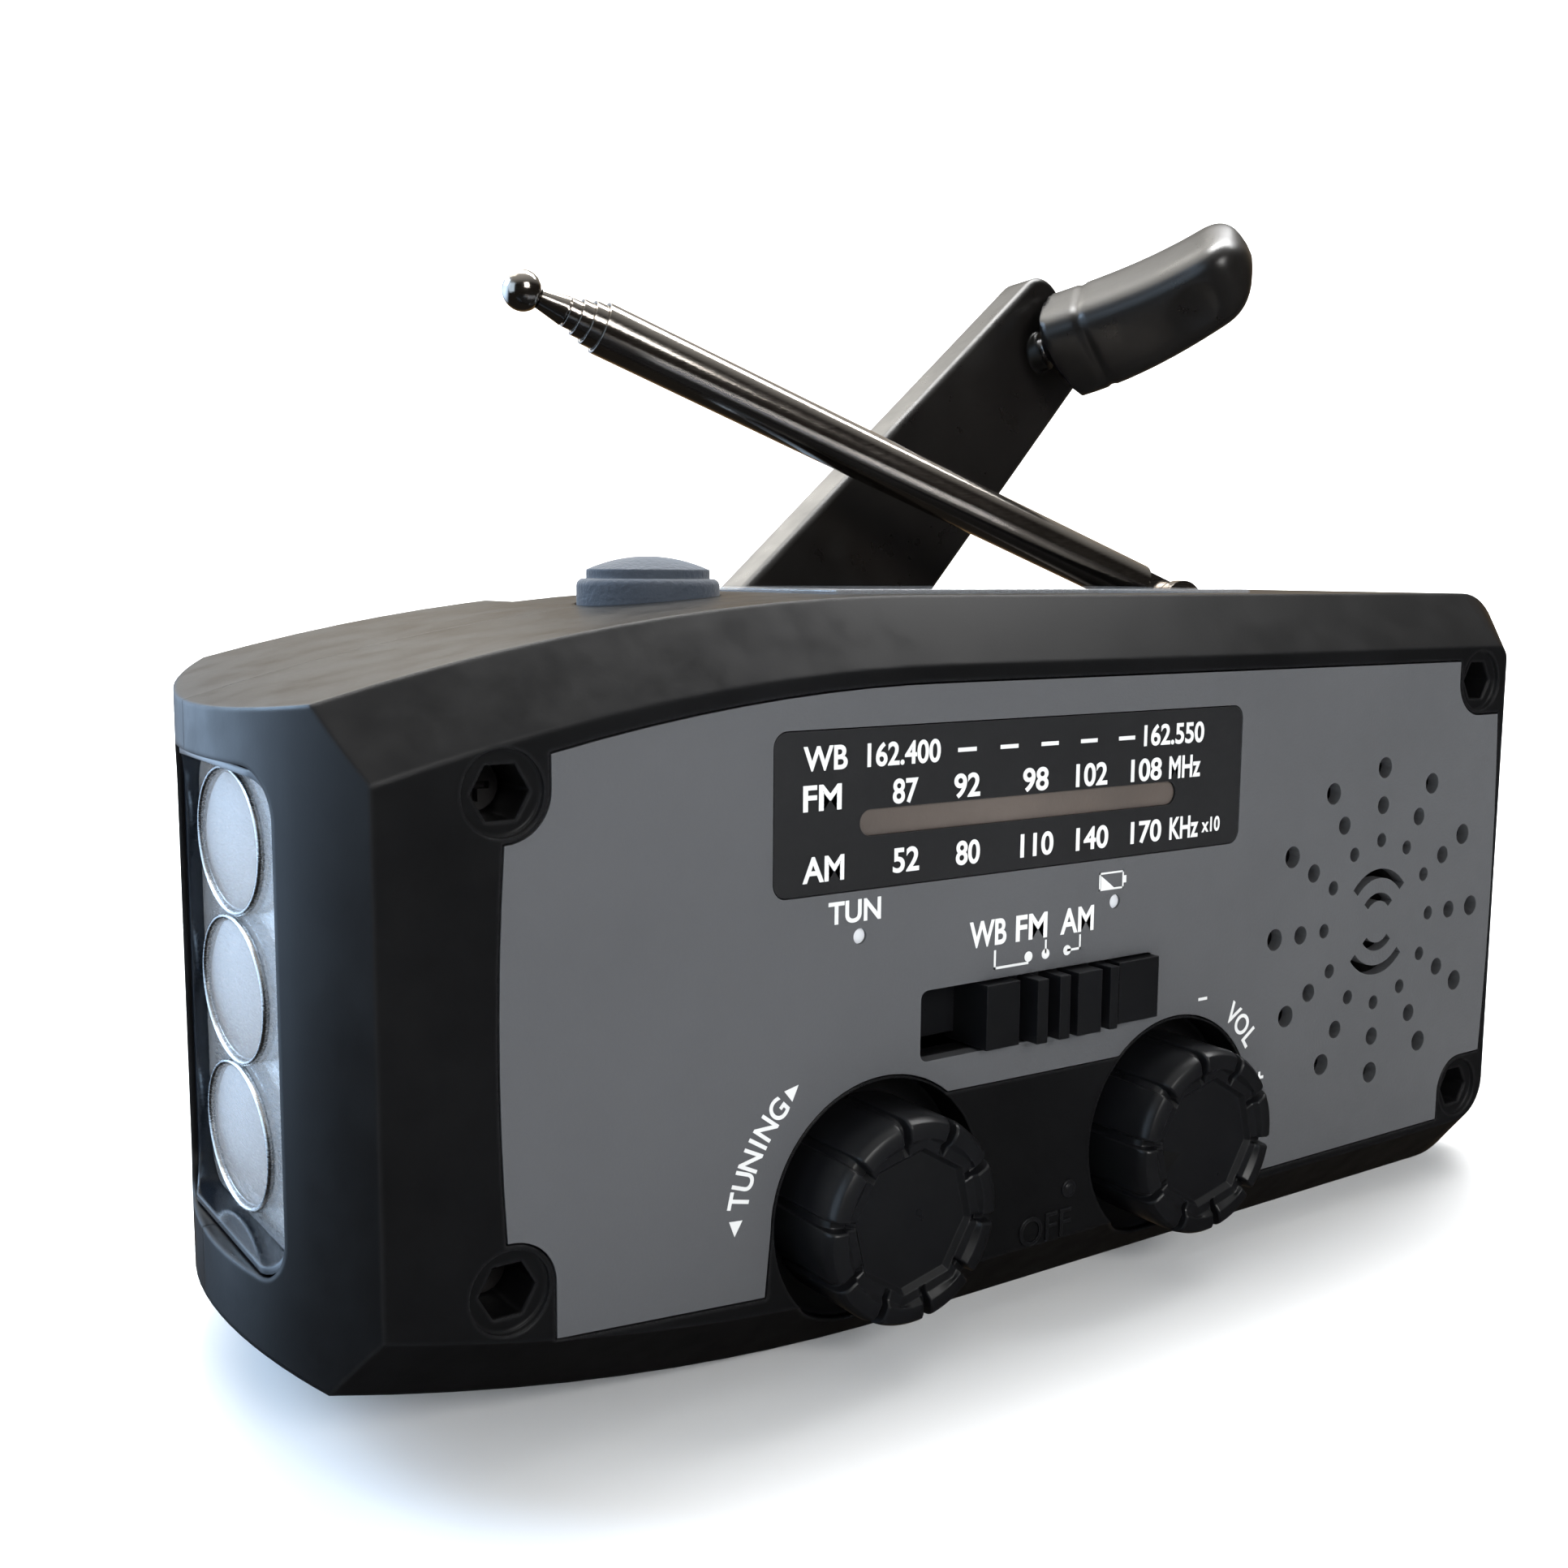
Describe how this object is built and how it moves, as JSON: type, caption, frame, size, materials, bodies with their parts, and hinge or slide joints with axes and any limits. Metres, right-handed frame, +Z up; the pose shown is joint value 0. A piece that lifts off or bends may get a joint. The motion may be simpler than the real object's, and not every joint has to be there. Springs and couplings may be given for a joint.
{
  "type": "emergency radio",
  "caption": "Hand-crank emergency radio: tapered black case, grey front panel with dial and speaker, end torch, folding rear crank and telescopic antenna.",
  "frame": {"origin": "middle of the flat underside, half way between the front and back faces", "axes": "+X to the right of someone facing the front (torch end is -X), -Y out of the front face, +Z up"},
  "size_m": [0.136, 0.0754, 0.1031],
  "materials": {
    "case_black": "satin moulded",
    "panel_grey": "matte",
    "dial_grey": "matte",
    "dial_tint": "tinted clear",
    "pointer_red": "gloss",
    "lamp_clear": "clear",
    "knob_black": "semi-gloss",
    "chrome": "polished",
    "steel": "satin",
    "brass": "turned",
    "mirror": "vacuum metallised",
    "rubber_blue": "matte textured",
    "rubber_black": "matte",
    "board_green": "solder mask",
    "paper_cone": "pressed paper",
    "magnet": "sintered",
    "ferrite": "sintered",
    "copper": "enamelled wire",
    "gear_white": "acetal",
    "battery_wrap": "shrink sleeve",
    "solar_cell": "glass coated",
    "window_clear": "clear"
  },
  "bodies": {
    "casing": {"front_shell": "case_black", "rear_shell": "case_black", "front_panel": "panel_grey", "dial_window": "dial_grey", "dial_lens": "dial_tint", "dial_back": "dial_grey", "speaker_frame": "steel", "speaker_cone": "paper_cone", "speaker_magnet": "magnet", "main_board": "board_green", "board_screws": "steel", "tuning_capacitor": "gear_white", "volume_potentiometer": "gear_white", "band_switch": "gear_white", "indicator_lights": "lamp_clear", "battery_pack": "battery_wrap", "battery_bracket": "steel", "ferrite_rod": "ferrite", "ferrite_coil": "copper", "torch_bezel": "case_black", "torch_lens": "window_clear", "torch_reflector": "mirror", "torch_leds": "lamp_clear", "torch_board": "board_green", "solar_window": "window_clear", "solar_cell": "solar_cell", "light_switch": "board_green", "usb_port": "steel", "charge_port": "steel", "port_board": "board_green", "crank_bush": "brass", "idler_axle": "steel", "generator_housing": "steel", "gearbox_plate": "gear_white", "antenna_bracket": "steel", "case_screws": "steel"},
    "pointer": {"dial_pointer": "pointer_red"},
    "tuning": {"tuning_knob": "knob_black", "tuning_shaft": "steel"},
    "volume": {"volume_knob": "knob_black", "volume_shaft": "steel"},
    "slider": {"band_slider": "knob_black"},
    "button": {"light_button": "rubber_blue"},
    "flap": {"port_cover": "rubber_black"},
    "crank": {"crank_hub": "case_black", "crank_gear": "gear_white", "crank_hinge_pin": "steel"},
    "arm": {"crank_arm": "case_black", "grip_pin": "steel"},
    "grip": {"crank_grip": "case_black"},
    "idler": {"idler_gear": "gear_white"},
    "rotor": {"generator_rotor": "magnet"},
    "mast_base": {"antenna_swivel": "chrome", "antenna_pivot_pin": "chrome"},
    "mast_1": {"antenna_tube_1": "chrome"},
    "mast_2": {"antenna_tube_2": "chrome"},
    "mast_3": {"antenna_tube_3": "chrome"},
    "mast_4": {"antenna_tube_4": "chrome"},
    "mast_5": {"antenna_tip": "chrome"}
  },
  "joints": [
    {"name": "crank_spin", "type": "hinge", "parent": "casing", "child": "crank", "pos_m": [0.0033, 0.0225, 0.046], "axis": [0, -1, 0], "continuous": true},
    {"name": "crank_fold", "type": "hinge", "parent": "crank", "child": "arm", "pos_m": [0.0033, 0.03, 0.046], "axis": [-0.6239, 0, 0.7815], "range_deg": [-12, 168]},
    {"name": "grip_spin", "type": "hinge", "parent": "arm", "child": "grip", "pos_m": [0.05492, 0.04149, 0.08721], "axis": [0.437, -0.829, 0.3489], "continuous": true},
    {"name": "idler_spin", "type": "hinge", "parent": "casing", "child": "idler", "pos_m": [0.0087, 0.006, 0.03665], "axis": [0, -1, 0], "continuous": true},
    {"name": "rotor_spin", "type": "hinge", "parent": "casing", "child": "rotor", "pos_m": [0.00672, 0.005, 0.02542], "axis": [0, -1, 0], "continuous": true},
    {"name": "antenna_turn", "type": "hinge", "parent": "casing", "child": "mast_base", "pos_m": [0.054, 0.0174, 0.05635], "axis": [0, 0, -1], "range_deg": [-11.8, 5]},
    {"name": "antenna_tilt", "type": "hinge", "parent": "mast_base", "child": "mast_1", "pos_m": [0.054, 0.0174, 0.05635], "axis": [0.2045, 0.9789, 0], "range_deg": [-14, 45]},
    {"name": "antenna_slide_1", "type": "slide", "parent": "mast_1", "child": "mast_2", "axis": [-0.9101, 0.1901, 0.3681], "range_m": [0, 0.05]},
    {"name": "antenna_slide_2", "type": "slide", "parent": "mast_2", "child": "mast_3", "axis": [-0.9101, 0.1901, 0.3681], "range_m": [0, 0.05]},
    {"name": "antenna_slide_3", "type": "slide", "parent": "mast_3", "child": "mast_4", "axis": [-0.9101, 0.1901, 0.3681], "range_m": [0, 0.05]},
    {"name": "antenna_slide_4", "type": "slide", "parent": "mast_4", "child": "mast_5", "axis": [-0.9101, 0.1901, 0.3681], "range_m": [0, 0.05]},
    {"name": "tuning_turn", "type": "hinge", "parent": "casing", "child": "tuning", "pos_m": [-0.0182, -0.0225, 0.012], "axis": [0, 1, 0], "range_deg": [-90, 90]},
    {"name": "pointer_slide", "type": "slide", "parent": "casing", "child": "pointer", "axis": [1, 0, 0], "range_m": [-0.0145, 0.0145]},
    {"name": "volume_turn", "type": "hinge", "parent": "casing", "child": "volume", "pos_m": [0.0135, -0.0225, 0.012], "axis": [0, 1, 0], "range_deg": [0, 290]},
    {"name": "band_slide", "type": "slide", "parent": "casing", "child": "slider", "axis": [1, 0, 0], "range_m": [-0.0056, 0]},
    {"name": "button_press", "type": "slide", "parent": "casing", "child": "button", "axis": [0, 0, -1], "range_m": [0, 0.001], "stiffness_N_per_m": 600, "springref_m": -0.0003},
    {"name": "port_cover_hinge", "type": "hinge", "parent": "casing", "child": "flap", "pos_m": [0.06355, 0.0184, 0.0255], "axis": [0, 0, 1], "range_deg": [0, 100]}
  ],
  "couplings": [
    {"joint": "idler_spin", "follows": "crank_spin", "ratio": -2},
    {"joint": "rotor_spin", "follows": "crank_spin", "ratio": 5.6},
    {"joint": "pointer_slide", "follows": "tuning_turn", "m_per_rad": 0.0092}
  ]
}
